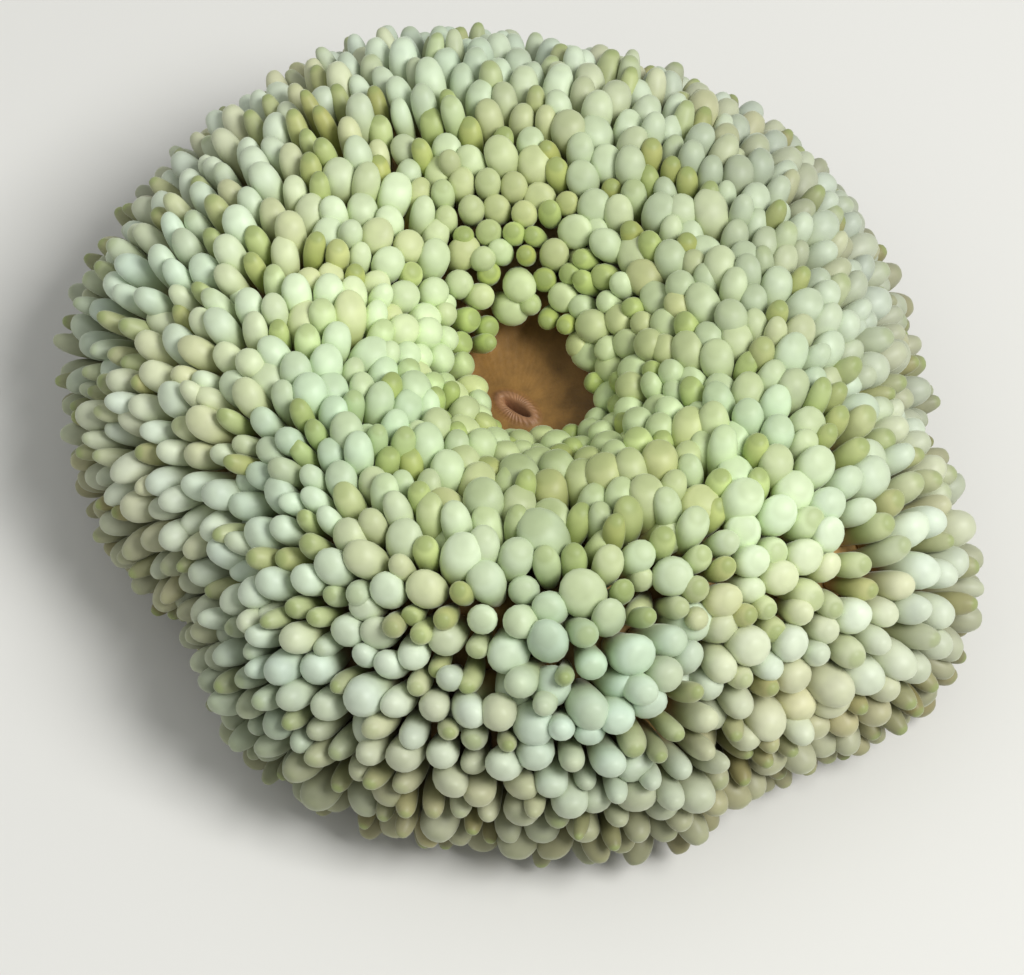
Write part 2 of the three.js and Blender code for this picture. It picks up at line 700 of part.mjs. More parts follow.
function undersideHeight(angle, radius) {
  const way = new THREE.Vector2(Math.cos(angle), Math.sin(angle));
  const slopes = undersideLoop.map((point) => {
    const flat = new THREE.Vector2(point.x, point.y);
    const apart = Math.acos(clamp(flat.dot(way) / flat.length(), -1, 1));
    return apart < NEAR ? point.z / flat.length() : 0;
  });
  return CORE.z + radius * Math.min(...slopes);
}

// The column: a short fluted wall with a waist, under a low cone that carries the disc.
function column() {
  const foot = PEDAL_HIGH + GAP;
  const ring = (t) => Array.from({ length: COLUMN_SIDES }, (_, i) => {
    const angle = (i / COLUMN_SIDES) * TURN;
    const flute = FLUTE_DEEP * Math.cos(angle * FLUTES) * Math.sin(Math.PI * t);
    const brim = undersideHeight(angle, COLUMN_TOP) - CONE_GAP;
    const waist = lerp(COLUMN_FOOT, COLUMN_TOP, t) - COLUMN_WAIST * Math.sin(Math.PI * t);
    const flat = placed([THREE.MathUtils.radToDeg(angle), waist + flute]);
    return new THREE.Vector3(flat.x, flat.y, lerp(foot, brim, t));
  });
  const rings = COLUMN_LEVELS.map(ring);
  const low = new THREE.Vector3(0, 0, foot);
  return ringBody(rings, low, CORE.clone().setZ(CORE.z - CONE_GAP));
}

// The pedal disc: a flat foot with a slightly wavy, rounded edge.
function pedalDisc() {
  const ring = (inset, z) => Array.from({ length: COLUMN_SIDES }, (_, i) => {
    const angle = (i / COLUMN_SIDES) * TURN;
    const wave = PEDAL_WAVE * Math.sin(angle * PEDAL_WAVES);
    const flat = placed([THREE.MathUtils.radToDeg(angle), PEDAL_RADIUS - inset + wave]);
    return new THREE.Vector3(flat.x, flat.y, z);
  });
  const rings = [ring(PEDAL_EDGE, 0), ring(0, PEDAL_HIGH / 2), ring(PEDAL_EDGE, PEDAL_HIGH)];
  return ringBody(rings, new THREE.Vector3(), new THREE.Vector3(0, 0, PEDAL_HIGH));
}

// ---- the model ----

const anemone = new THREE.Group();

function addPiece(name, geometry, color, roughness) {
  const flesh = new THREE.MeshStandardMaterial({ color, roughness, metalness: 0 });
  const mesh = new THREE.Mesh(geometry, flesh);
  mesh.name = name;
  anemone.add(mesh);
}

addPiece('pedal_disc', pedalDisc(), PEDAL_TAN, 0.7);
addPiece('column', column(), COLUMN_OLIVE, 0.6);
SECTORS.forEach((sector, i) => {
  addPiece(sector.name, discLobe(sector, i), TENTACLE_GREENS[i % TENTACLE_GREENS.length], 0.5);
});
addPiece('peristome', peristome(), PERISTOME_BROWN, 0.5);
addPiece('mouth_lips', lips(), LIP_TAN, 0.45);

export default anemone;
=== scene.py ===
"""Sun anemone, life size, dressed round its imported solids: one skin of flesh and its tentacles."""

import math

import bpy
import numpy as np
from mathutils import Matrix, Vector


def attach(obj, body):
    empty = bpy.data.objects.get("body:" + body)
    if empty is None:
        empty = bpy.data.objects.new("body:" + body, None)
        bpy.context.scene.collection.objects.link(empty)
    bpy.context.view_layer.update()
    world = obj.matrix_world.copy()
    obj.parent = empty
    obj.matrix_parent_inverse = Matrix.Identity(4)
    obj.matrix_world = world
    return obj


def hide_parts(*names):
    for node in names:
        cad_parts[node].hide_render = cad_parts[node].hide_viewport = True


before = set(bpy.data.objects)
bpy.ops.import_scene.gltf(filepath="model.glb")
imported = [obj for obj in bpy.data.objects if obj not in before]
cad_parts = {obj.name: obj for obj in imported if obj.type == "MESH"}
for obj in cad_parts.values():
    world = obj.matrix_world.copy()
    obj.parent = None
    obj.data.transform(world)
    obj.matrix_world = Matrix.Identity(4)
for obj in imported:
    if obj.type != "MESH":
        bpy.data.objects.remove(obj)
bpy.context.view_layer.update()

# ---- the camera ----
# It looks steeply down on the mouth from the front, from far enough away that the disc keeps
# its shape. The animal fills most of the frame.
CAMERA_AIM = Vector((-0.0013, -0.0080, 0.0134))
CAMERA_AWAY = 0.560
CAMERA_ELEVATION = math.radians(60)
VIEW_WIDTH = 0.140  # seen across the frame at the aim

towards_camera = Vector((0, -math.cos(CAMERA_ELEVATION), math.sin(CAMERA_ELEVATION)))
camera_data = bpy.data.cameras.new("camera")
camera_data.sensor_width = 36
camera_data.lens = camera_data.sensor_width * CAMERA_AWAY / VIEW_WIDTH
camera_data.clip_start = 0.02
camera_data.clip_end = 20
camera = bpy.data.objects.new("camera", camera_data)
camera.location = CAMERA_AIM + towards_camera * CAMERA_AWAY
camera.rotation_euler = (-towards_camera).to_track_quat("-Z", "Y").to_euler()
bpy.context.collection.objects.link(camera)
bpy.context.scene.camera = camera

# ---- the skin ----
# One closed bag of flesh: a flat foot, a short fluted column, a wide oral disc that turns down
# at its rim and is folded into lobes, and a sunken bare middle with the mouth and its lips.
# It is one lathe-like sheet of rings, from the bottom of the throat out, under and to the foot.
MM = 0.001
SECTION = np.array([
    (0, 25.0), (7, 25.3), (13.5, 27.2), (20, 32.0), (28, 35.8), (36, 35.4),
    (43.5, 31.0), (49.5, 24.0), (52.8, 16.0), (52.4, 10.5), (49.5, 8.0),
])  # half section of the disc's flesh, as radius and height, from the mouth to under the rim
MOUTH_OFF_AXIS = (1.5, -2.0)
OFF_AXIS_REACH = 45
PIT_NARROW, PIT_SQUEEZE, PIT_REACH = math.radians(30), 0.28, 30  # the sunken middle is an oval
CORE = np.array((0, 0, 17.0))  # the point deep in the flesh that furrows sink towards
LOBE_START, LOBE_FULL, LOBE_EASE = 14, 50, 1.5
LOBE_WIDE = 15  # degrees, to either side
LOBES = (  # where each lies in degrees, how far it stands out and how much higher it sits
    (-72, 1, 0), (-52, -2, 0), (-30, 5.5, -1), (-8, -6, -0.3), (14, -7, 0), (38, -5, 0),
    (62, -4, 0), (86, -4, 0.3), (110, 1, 0.4), (134, 1, 0.6), (162, 1, 0.9), (-168, -3.5, 0.5),
    (-146, -9.5, 2), (-122, -1.5, 0.2), (-96, -2, 0.5),
)
FURROWS = (  # from and to, each in degrees and radius, then half width and depth
    ((136, 14), (121, 32), 3.4, 4.5), ((-76, 17), (-90, 41), 3.0, 3.6),
    ((-67, 40), (-59, 66), 3.2, 4.2), ((-40, 22), (-4, 48), 3.0, 2.6),
    ((60, 25), (24, 30), 2.8, 2.6), ((176, 52), (170, 32), 3.0, 2.8),
    ((-118, 46), (-97, 44), 3.4, 3.0),
)
DEEPEST_FURROW = 6
CANOPY = 7  # from the flesh to the middle of a tentacle's bulb
STATIONS = 400


def through(points, count):
    """A smooth curve through points, at evenly stepped places."""
    spans = len(points) - 1
    place = np.linspace(0, spans, count + 1)
    i = np.minimum(place.astype(int), spans - 1)
    t = (place - i)[:, None]
    before, a, b, after = (points[np.clip(i + k, 0, spans)] for k in (-1, 0, 1, 2))
    leave, arrive = (b - before) / 2, (after - a) / 2
    cubic = 2 * a - 2 * b + leave + arrive
    square = 3 * b - 3 * a - 2 * leave - arrive
    return cubic * t**3 + square * t**2 + leave * t + a


flesh_line = through(SECTION, STATIONS)
slope = np.empty_like(flesh_line)
slope[1:-1] = flesh_line[2:] - flesh_line[:-2]
slope[0] = flesh_line[1] - flesh_line[0]
slope[-1] = flesh_line[-1] - flesh_line[-2]
slope /= np.linalg.norm(slope, axis=1, keepdims=True)
canopy_line = flesh_line + CANOPY * np.stack([-slope[:, 1], slope[:, 0]], axis=1)
along_line = np.concatenate([[0], np.cumsum(np.linalg.norm(np.diff(canopy_line, axis=0), axis=1))])


def share(value, low, high):
    return np.clip((value - low) / (high - low), 0, 1)


def from_degrees(degrees, radius):
    return radius * np.array((math.cos(math.radians(degrees)), math.sin(math.radians(degrees))))


def flesh_radius(along):
    return np.interp(along, along_line, flesh_line[:, 0])


def flesh_point(angle, along, furrowed=1.0):
    """A point of the disc's flesh, in mm: an angle round it and a distance along the canopy."""
    section_radius = flesh_radius(along)
    radius = section_radius
    height = np.interp(along, along_line, flesh_line[:, 1])
    outward = share(section_radius, LOBE_START, LOBE_FULL) ** LOBE_EASE
    for at, reach, lift in LOBES:
        off = ((np.degrees(angle) - at + 180) % 360 - 180) / LOBE_WIDE
        swell = np.exp(-off * off) * outward
        radius = radius + reach * swell
        height = height + lift * swell
    near = 1 - share(radius, 0, OFF_AXIS_REACH) ** 2
    squeeze = PIT_SQUEEZE * (1 - share(radius, 0, PIT_REACH) ** 2) * radius * np.cos(angle - PIT_NARROW)
    x = radius * np.cos(angle) - squeeze * math.cos(PIT_NARROW) + MOUTH_OFF_AXIS[0] * near
    y = radius * np.sin(angle) - squeeze * math.sin(PIT_NARROW) + MOUTH_OFF_AXIS[1] * near
    depth = 0
    for start, end, wide, deep in FURROWS:
        start = from_degrees(*start)
        run = from_degrees(*end) - start
        t = np.clip(((x - start[0]) * run[0] + (y - start[1]) * run[1]) / (run @ run), 0, 1)
        off = np.hypot(x - start[0] - t * run[0], y - start[1] - t * run[1]) / wide
        depth = depth + deep * np.exp(-off * off)
    ray = np.stack([x, y, height], axis=-1) - CORE
    length = np.linalg.norm(ray, axis=-1, keepdims=True)
    sunk = furrowed * np.minimum(depth, DEEPEST_FURROW)[..., None]
    return CORE + ray * (length - sunk) / length


# Rings from the throat out: the mouth's slit and lips, then the dished bare middle.
SKIN_SIDES = 288
angles = np.arange(SKIN_SIDES) / SKIN_SIDES * math.tau
MOUTH = (-0.7, -2.4, 25.1)
MOUTH_LONG, MOUTH_WIDE, MOUTH_TURN = 4.4, 1.1, math.radians(-38)
LIP_RINGS = (  # how far each ring lies outside the slit, and how far above it
    (-0.42, -2.5), (-0.34, -1.5), (-0.18, -0.7), (0.0, -0.1), (0.16, 0.26), (0.42, 0.46),
    (0.75, 0.50), (1.10, 0.36), (1.42, 0.16), (1.75, 0.04),
)
LIP_PLEATS, LIP_PLEAT = 26, 0.035  # how many, and how high
PLEATS_RISE, PLEATS_FALL = (-0.2, 0.5), (1.0, 1.7)  # where they set in and end, outside the slit
LIP_EDGE = 1.2  # mm outside the slit, where the lips' colour ends
BARE = 13.5  # radius of the bare middle
BARE_FADE = 2.5  # mm over which its colour gives way to the disc's
BARE_RINGS = 26
BARE_RAYS, BARE_RAY = 48, 0.01  # faint ridges, one over each of the walls that hold the throat
FOOT_ZONE, COLUMN_ZONE, DISC_ZONE = -0.5, 0.0, 1.0  # a zone's number picks its colour
BARE_ZONE, LIP_FOOT_ZONE, LIP_ZONE = 2.0, 2.5, 3.0
rings, zones = [], []


def level_ring(radius, height, middle=(0, 0)):
    """A ring of the skin round the axis or another middle, with a radius that may vary."""
    across = [middle[0] + radius * np.cos(angles), middle[1] + radius * np.sin(angles)]
    return np.stack([*across, height + np.zeros(SKIN_SIDES)], axis=1)


def mouth_oval(outside, above):
    """A ring of the lips: an oval round the slit, pleated where the lips stand."""
    off = angles - MOUTH_TURN
    long, wide = MOUTH_LONG / 2 + outside, MOUTH_WIDE / 2 + outside
    pleated = share(outside, *PLEATS_RISE) * (1 - share(outside, *PLEATS_FALL))
    pleats = LIP_PLEAT * pleated * np.cos(LIP_PLEATS * off)
    radius = long * wide / np.hypot(wide * np.cos(off), long * np.sin(off)) + pleats
    return level_ring(radius, MOUTH[2] + above + pleats, MOUTH)


for outside, above in LIP_RINGS:
    rings.append(mouth_oval(outside, above))
    zones.append(LIP_ZONE if outside < LIP_EDGE else LIP_FOOT_ZONE)
bare_station = int(np.argmax(flesh_line[:, 0] > BARE))
bare_edge = flesh_point(angles, along_line[bare_station])
foot_of_lips = rings[-1]
for k in range(1, BARE_RINGS):
    t = k / BARE_RINGS
    ring = foot_of_lips + (bare_edge - foot_of_lips) * t
    ring[:, 2] = MOUTH[2] + (bare_edge[:, 2] - MOUTH[2]) * t**2
    rays = np.cos(BARE_RAYS * angles + 2 * np.sin(5 * angles))
    ring[:, 2] += BARE_RAY * math.sin(math.pi * t) * rays
    rings.append(ring)
    zones.append(BARE_ZONE)

# The disc, over its crest and down to under its rim.
DISC_STEP = 4
for i in range(bare_station, STATIONS + 1, DISC_STEP):
    rings.append(flesh_point(angles, along_line[i]))
    zones.append(DISC_ZONE + (1 - share(flesh_line[i, 0], BARE, BARE + BARE_FADE)))

# The underside runs in to the column, which is fluted lengthwise, and the foot spreads under it.
COLUMN_TOP, COLUMN_FOOT, COLUMN_WAIST = 33, 30.3, 1.6
FLUTES, FLUTE_DEEP = 18, 0.5
SLOW_FLUTES, SLOW_SHARE = 7, 0.35  # broader ones that make the rest uneven
WRINKLES, WRINKLE_DEEP = 72, 0.12
UNDER_RINGS, COLUMN_RINGS = 10, 26
PEDAL_RADIUS, PEDAL_HIGH = 31.5, 2.6
PEDAL_WAVES, PEDAL_WAVE = 5, 0.6
PEDAL_RINGS = ((0.75, 0.97), (0.25, 0.86), (0.0, 0.55), (0.10, 0.2), (0.45, 0.03), (0.8, 0.0))
SOLE_RINGS = (0.9, 0.75, 0.5, 0.25)  # shares of the foot's radius
FOOT_FLUTE = 0.15
FILLET, FILLET_FROM = 2.0, 0.85  # its size, and the share of the column's height where it starts
FILLET_DROP, FILLET_SPREAD = 0.35, 0.6  # of its size
rim_end = rings[-1]
reach = np.linalg.norm(rim_end[:, :2], axis=1)
for k in range(1, UNDER_RINGS + 1):
    t = k / UNDER_RINGS
    near = 1 + ((COLUMN_TOP + FILLET) / reach - 1) * t
    rings.append(CORE + (rim_end - CORE) * near[:, None])
    zones.append(DISC_ZONE - t)
brim_level = rings[-1][:, 2] - FILLET_DROP * FILLET
flutes = np.cos(FLUTES * angles) + SLOW_SHARE * np.cos(SLOW_FLUTES * angles + 1)
wrinkles = np.cos(WRINKLES * angles + 3 * np.sin(3 * angles))
for k in range(COLUMN_RINGS + 1):
    t = 1 - k / COLUMN_RINGS
    swell = math.sin(math.pi * t)
    radius = COLUMN_FOOT + (COLUMN_TOP - COLUMN_FOOT) * t - COLUMN_WAIST * swell
    radius = radius + (FLUTE_DEEP * flutes + WRINKLE_DEEP * wrinkles) * swell ** 0.5
    radius = radius + FILLET_SPREAD * FILLET * max(0, (t - FILLET_FROM) / (1 - FILLET_FROM)) ** 2
    rings.append(level_ring(radius, PEDAL_HIGH + (brim_level - PEDAL_HIGH) * t))
    zones.append(COLUMN_ZONE)
for inset, level in PEDAL_RINGS:
    radius = PEDAL_RADIUS - inset + PEDAL_WAVE * np.sin(PEDAL_WAVES * angles) + FOOT_FLUTE * flutes
    rings.append(level_ring(radius, level * PEDAL_HIGH))
    zones.append(FOOT_ZONE)
foot_edge = rings[-1]
for inward in SOLE_RINGS:
    rings.append(foot_edge * (inward, inward, 0))
    zones.append(FOOT_ZONE)

THROAT_DEEP = 0.2  # mm from the lowest ring of the lips to the bottom of the throat
throat = (MOUTH[0], MOUTH[1], MOUTH[2] + LIP_RINGS[0][1] - THROAT_DEEP)
points = np.concatenate([*rings, [throat], [(0, 0, 0)]]) * MM
zone_of = np.concatenate([np.repeat(zones, SKIN_SIDES), [zones[0], zones[-1]]])
faces = []
throat_at, sole_at = len(points) - 2, len(points) - 1
for side in range(SKIN_SIDES):
    beside = (side + 1) % SKIN_SIDES
    faces.append((throat_at, side, beside))
    for ring in range(len(rings) - 1):
        a, b = ring * SKIN_SIDES, (ring + 1) * SKIN_SIDES
        faces.append((a + side, b + side, b + beside, a + beside))
    last_ring = (len(rings) - 1) * SKIN_SIDES
    faces.append((last_ring + side, sole_at, last_ring + beside))

skin_mesh = bpy.data.meshes.new("flesh_skin")
skin_mesh.from_pydata(points.tolist(), [], faces)
skin_mesh.polygons.foreach_set("use_smooth", np.ones(len(faces), dtype=bool))
zone = skin_mesh.attributes.new("zone", "FLOAT", "POINT")
zone.data.foreach_set("value", zone_of.astype(np.float32))
skin_mesh.update()
skin = bpy.data.objects.new("flesh_skin", skin_mesh)
bpy.context.collection.objects.link(skin)


def color(hex_value):
    """An sRGB hex colour as linear red, green, blue and alpha."""
    parts = [((hex_value >> shift) & 255) / 255 for shift in (16, 8, 0)]
    return (*[p / 12.92 if p <= 0.04045 else ((p + 0.055) / 1.055) ** 2.4 for p in parts], 1)


def node(tree, kind, links=(), **settings):
    """Add a node with its settings, then fill its inputs with values or with other sockets."""
    made = tree.nodes.new(kind)
    for name, value in settings.items():
        setattr(made, name, value)
    for key, value in dict(links).items():
        if isinstance(value, bpy.types.NodeSocket):
            tree.links.new(value, made.inputs[key])
        else:
            made.inputs[key].default_value = value
    return made


# Living flesh, wet and soft, looks satin, and its colour clouds from place to place. The bare
# middle is orange brown, its lips are pale, and the column is an olive tan.
NOISE_LOW, NOISE_HIGH = 0.3, 0.7  # between which most of a noise lies
flesh = bpy.data.materials.new("satin living flesh")
flesh.use_nodes = True
tree = flesh.node_tree
tree.nodes.clear()
zone_read = node(tree, "ShaderNodeAttribute", attribute_name="zone")
place = node(tree, "ShaderNodeTexCoord")
by_zone = node(tree, "ShaderNodeMapRange", {0: zone_read.outputs["Fac"], 1: FOOT_ZONE, 2: LIP_ZONE})
zone_colors = node(tree, "ShaderNodeValToRGB", {0: by_zone.outputs[0]})
ZONE_COLORS = (
    (-0.5, 0xb59b78), (-0.2, 0xa8946c), (0.3, 0xa39066), (0.8, 0xb0905c), (1.2, 0xb08c50),
    (1.8, 0x8a6733), (2.15, 0x8f6a36), (2.5, 0x8e673a), (3.0, 0x9b7250),
)
ramp = zone_colors.color_ramp
while len(ramp.elements) < len(ZONE_COLORS):
    ramp.elements.new(0.5)
for stop, (at, hex_value) in zip(ramp.elements, ZONE_COLORS):
    stop.position = (at - FOOT_ZONE) / (LIP_ZONE - FOOT_ZONE)
    stop.color = color(hex_value)
clouds = node(tree, "ShaderNodeTexNoise", {
    "Vector": place.outputs["Object"], "Scale": 320, "Detail": 4, "Roughness": 0.6,  # some 3 mm
})
cloud_range = node(tree, "ShaderNodeMapRange", {
    0: clouds.outputs["Fac"], 1: NOISE_LOW, 2: NOISE_HIGH, 3: 0.72, 4: 1.18,
})
clouded = node(tree, "ShaderNodeMix", {
    0: 1.0, 6: zone_colors.outputs[0], 7: cloud_range.outputs[0],
}, data_type="RGBA", blend_type="MULTIPLY")
grain = node(tree, "ShaderNodeTexNoise", {
    "Vector": place.outputs["Object"], "Scale": 2600, "Detail": 3, "Roughness": 0.6,  # some 0.4 mm
})
bump = node(tree, "ShaderNodeBump", {"Strength": 0.35, "Distance": 0.00015, "Height": grain.outputs["Fac"]})
surface = node(tree, "ShaderNodeBsdfPrincipled", {
    "Base Color": clouded.outputs[2], "Roughness": 0.5, "IOR": 1.38, "Normal": bump.outputs[0],
    "Sheen Weight": 0.1, "Sheen Roughness": 0.5,
})
node(tree, "ShaderNodeOutputMaterial", {"Surface": surface.outputs[0]})
skin_mesh.materials.append(flesh)

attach(skin, "root")
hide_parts("pedal_disc", "column", "peristome", "mouth_lips")

# ---- the tentacles ----
# Some fifteen hundred short stout tentacles stand in loose rows on the disc. Each is a hollow bag
# of thin flesh: a narrow tan stalk under a pale green bulb, longer and more pointed at the rim.
# They press each other apart where they crowd. One piece holds those of one lobe.
PITCH, ROW, SCATTER = 3.90, 3.48, 0.55  # mm along a row and between rows, and how far off them
INNER_SIZE, INNER_UNTIL = 0.88, 18  # how large they are near the mouth, and to what radius
OUTER_SIZE, OUTER_FROM = 1.06, 42
SWOLLEN_AT, SWOLLEN_WIDE, SWOLLEN_MORE = (-88, 38), 15, 0.20  # the stout ones on the front
SWOLLEN_LENGTH = 0.5  # of that, how much goes into their length
FIRST_ROW_OFF, LAST_ROW_OFF = 1, 2  # mm from the bare middle, and from the end of the flesh
SETTLE_STEPS, SETTLE_PUSH, SETTLE_PROBE, LEAST_STRETCH = 12, 0.35, 0.6, 0.3  # how rows even out
UPRIGHT, UPRIGHT_FULL, UPRIGHT_END = 0.2, 16, 26  # how upright near the mouth, to what radii
FURROW_LEAN, DROOP, TILT = 0.3, -0.4, 0.3
LENGTH, LENGTH_VARIES, RIM_LONGER = 8.1, 2.2, 1.6
WIDTH, WIDTH_VARIES = 3.95, 1.6
SLACK_AND_SHADED_BELOW = (0.28, 0.42)  # a tentacle that is less stout than this is slack and olive, partly its own colour and partly painted shade where it sits deep between stouter ones
RIM_FROM, RIM_FULL = 44, 54  # radii between which bulbs turn to fingers
CROWD_STEPS, CROWD, CROWD_PUSH, STALK_SPRING = 25, 0.51, 0.4, 0.5  # how bulbs press apart
PROBE, LEAST_RADIUS = 1.2, 4
SECTORS = (  # each lobe and the angle where it starts
    ("disc_lobe_left_front", -150), ("disc_lobe_front", -116), ("disc_lobe_front_right", -82),
    ("disc_lobe_right_front", -62), ("disc_lobe_right", -20), ("disc_lobe_back_right", 14),
    ("disc_lobe_back", 60), ("disc_lobe_left_back", 126), ("disc_lobe_left", 176),
)


def chance(index, trait):
    """A repeatable number from 0 to 1 for a tentacle and one of its traits."""
    wave = np.sin(index * 12.9898 + trait * 78.233) * 43758.5453
    return wave - np.floor(wave)


def unit(vectors):
    return vectors / np.linalg.norm(vectors, axis=-1, keepdims=True)


def growth(angle, along):
    """The way a tentacle grows: square to the flesh, and more upright round the middle."""
    radius = flesh_radius(along)
    turn = PROBE / np.maximum(radius, LEAST_RADIUS)
    around = flesh_point(angle + turn, along, FURROW_LEAN) - flesh_point(angle - turn, along, FURROW_LEAN)
    out = flesh_point(angle, along + PROBE, FURROW_LEAN) - flesh_point(angle, along - PROBE, FURROW_LEAN)
    way = unit(np.cross(out, around))
    way[..., 2] += UPRIGHT * (1 - share(radius, UPRIGHT_FULL, UPRIGHT_END))
    way = unit(way)
    way[..., 2] = np.maximum(way[..., 2], DROOP)
    return unit(way)


def canopy_point(angle, along):
    return flesh_point(angle, along) + CANOPY * growth(angle, along)


def pushed_apart(points, wanted, strength):
    """For each point, the sum of the pushes of those nearer than they want to be."""
    between = points[:, None] - points[None]
    distance = np.linalg.norm(between, axis=-1)
    np.fill_diagonal(distance, np.inf)
    push = strength * np.clip(wanted - distance, 0, None) / distance
    return (between * push[..., None]).sum(axis=1)


def size_at(along):
    """How large the tentacles are at a distance along the canopy."""
    return INNER_SIZE + (OUTER_SIZE - INNER_SIZE) * share(flesh_radius(along), INNER_UNTIL, OUTER_FROM)


def size_of(angle, along):
    """The same, with the swollen ones on the front larger."""
    radius = flesh_radius(along)
    middle = from_degrees(*SWOLLEN_AT)
    off = np.hypot(radius * np.cos(angle) - middle[0], radius * np.sin(angle) - middle[1]) / SWOLLEN_WIDE
    return size_at(along) * (1 + SWOLLEN_MORE * np.exp(-off * off))


first_row = along_line[bare_station] + FIRST_ROW_OFF
last_row = along_line[-1] - LAST_ROW_OFF
levels = [first_row]
while levels[-1] < last_row:
    levels.append(levels[-1] + ROW * size_at(levels[-1]))
levels = first_row + (last_row - first_row) * share(np.array(levels), first_row, levels[-1])
angle_parts, along_parts, placed = [], [], 0
for row, level in enumerate(levels):
    count = round(math.tau * np.interp(level, along_line, canopy_line[:, 0]) / (PITCH * size_at(level)))
    index = placed + np.arange(count)
    stagger = 0.5 * (row & 1) + SCATTER * (chance(index, 1) - 0.5)
    angle_parts.append((np.arange(count) + stagger) / count * math.tau)
    along_parts.append(level + ROW * SCATTER * (chance(index, 2) - 0.5))
    placed += count
angle, along = np.concatenate(angle_parts), np.clip(np.concatenate(along_parts), first_row, last_row)
for _ in range(SETTLE_STEPS):
    size = size_of(angle, along)
    push = pushed_apart(canopy_point(angle, along), PITCH * (size[:, None] + size) / 2, SETTLE_PUSH)
    radius = flesh_radius(along)
    turn = SETTLE_PROBE / radius
    around = (canopy_point(angle + turn, along) - canopy_point(angle - turn, along)) / (2 * SETTLE_PROBE)
    farther, nearer = canopy_point(angle, along + SETTLE_PROBE), canopy_point(angle, along - SETTLE_PROBE)
    out = (farther - nearer) / (2 * SETTLE_PROBE)
    sideways = (push * around).sum(axis=1) / np.maximum((around**2).sum(axis=1), LEAST_STRETCH)
    outward = (push * out).sum(axis=1) / np.maximum((out**2).sum(axis=1), LEAST_STRETCH)
    angle = angle + np.clip(sideways, -1, 1) / radius
    along = np.clip(along + np.clip(outward, -1, 1), first_row, last_row)

# Each has its own length, width and lean, and their bulbs press each other apart.
index = np.arange(len(angle))
stoutness = 0.5 * (chance(index, 4) + chance(index, 13))
# The slack, thinner ones are coloured olive: partly their own colour, partly painted shade where they sit
# deep between stouter ones.
slack = 1 - share(stoutness, *SLACK_AND_SHADED_BELOW)
root = flesh_point(angle, along)
rim = share(flesh_radius(along), RIM_FROM, RIM_FULL)
size = size_of(angle, along)
tall = size_at(along) + SWOLLEN_LENGTH * (size - size_at(along))
length = tall * (LENGTH + RIM_LONGER * rim + LENGTH_VARIES * (chance(index, 3) - 0.5))
width = size * (WIDTH + WIDTH_VARIES * (chance(index, 4) - 0.5))
lean = np.stack([chance(index, 5), chance(index, 6), chance(index, 3)], axis=1) - 0.5
bulb = root + unit(growth(angle, along) + TILT * lean) * (length - width / 2)[:, None]
for _ in range(CROWD_STEPS):
    bulb = bulb + pushed_apart(bulb, CROWD * (width[:, None] + width[None]), CROWD_PUSH)
    stalk = bulb - root
    stretch = (length - width / 2) / np.linalg.norm(stalk, axis=1) - 1
    bulb = bulb + STALK_SPRING * stretch[:, None] * stalk
way = unit(bulb - root)
degrees = np.degrees(angle)
past = np.stack([(degrees - start) % 360 for _, start in SECTORS])
sector_of = past.argmin(axis=0)

# A lobe's tentacles grow on points at their roots, by one node tree: a small globe on each
# point is drawn out along its stalk to the outline of a bulb or of a finger.
TENTACLE_SIDES, TENTACLE_RINGS = 8, 7
RING_HEIGHTS = (-0.10, 0.02, 0.26, 0.51, 0.75, 0.90, 0.99, 1.02)  # shares of the length
BULB_GIRTHS = (0, 0.70, 0.78, 1.02, 1.13, 0.99, 0.62, 0)  # shares of half the width, unsmoothed
FINGER_GIRTHS = (0, 0.66, 0.82, 1.05, 1.14, 0.94, 0.56, 0)
DENT = 0.08  # of the girth: how uneven the bulbs are
DENT_SIZE = 3.2  # mm from one dent to the next
DENT_REACH = 1.6  # mm from the stalk's line to where the dents are read

tentacles = bpy.data.node_groups.new("tentacles on a lobe", "GeometryNodeTree")
for name, kind in (
    ("Roots", "NodeSocketGeometry"), ("Sides", "NodeSocketInt"), ("Rings", "NodeSocketInt"),
    ("Dent", "NodeSocketFloat"), ("Dent Size", "NodeSocketFloat"), ("Patch", "NodeSocketFloat"),
    ("Flesh", "NodeSocketMaterial"),
):
    tentacles.interface.new_socket(name, in_out="INPUT", socket_type=kind)
tentacles.interface.new_socket("Tentacles", in_out="OUTPUT", socket_type="NodeSocketGeometry")
given = node(tentacles, "NodeGroupInput").outputs
own = {}  # what each tentacle's points carry
for name, kind in (
    ("root", "FLOAT_VECTOR"), ("stalk", "FLOAT_VECTOR"), ("bend", "FLOAT_VECTOR"),
    ("patch", "FLOAT_VECTOR"), ("OFBake", "FLOAT_VECTOR"), ("station", "FLOAT"),
    ("spin", "FLOAT"), ("length", "FLOAT"), ("half_width", "FLOAT"), ("rim", "FLOAT"),
):
    made = node(tentacles, "GeometryNodeInputNamedAttribute", {"Name": name}, data_type=kind)
    own[name] = made.outputs["Attribute"]
# The globe, with its map and with how far up it each point is.
globe = node(tentacles, "GeometryNodeMeshUVSphere", {
    "Segments": given["Sides"], "Rings": given["Rings"], "Radius": 1.0,
})
globe_uv = node(tentacles, "GeometryNodeStoreNamedAttribute", {
    "Geometry": globe.outputs["Mesh"], "Name": "OFBake", "Value": globe.outputs["UV Map"],
}, data_type="FLOAT2", domain="CORNER")
place = node(tentacles, "GeometryNodeInputPosition")
parts = node(tentacles, "ShaderNodeSeparateXYZ", {0: place.outputs[0]})
polar = node(tentacles, "ShaderNodeMath", {0: parts.outputs["Z"]}, operation="ARCCOSINE")
station = node(tentacles, "ShaderNodeMapRange", {0: polar.outputs[0], 1: math.pi, 2: 0.0, 3: 0.0, 4: 1.0})
globe_station = node(tentacles, "GeometryNodeStoreNamedAttribute", {
    "Geometry": globe_uv.outputs[0], "Name": "station", "Value": station.outputs[0],
}, data_type="FLOAT", domain="POINT")
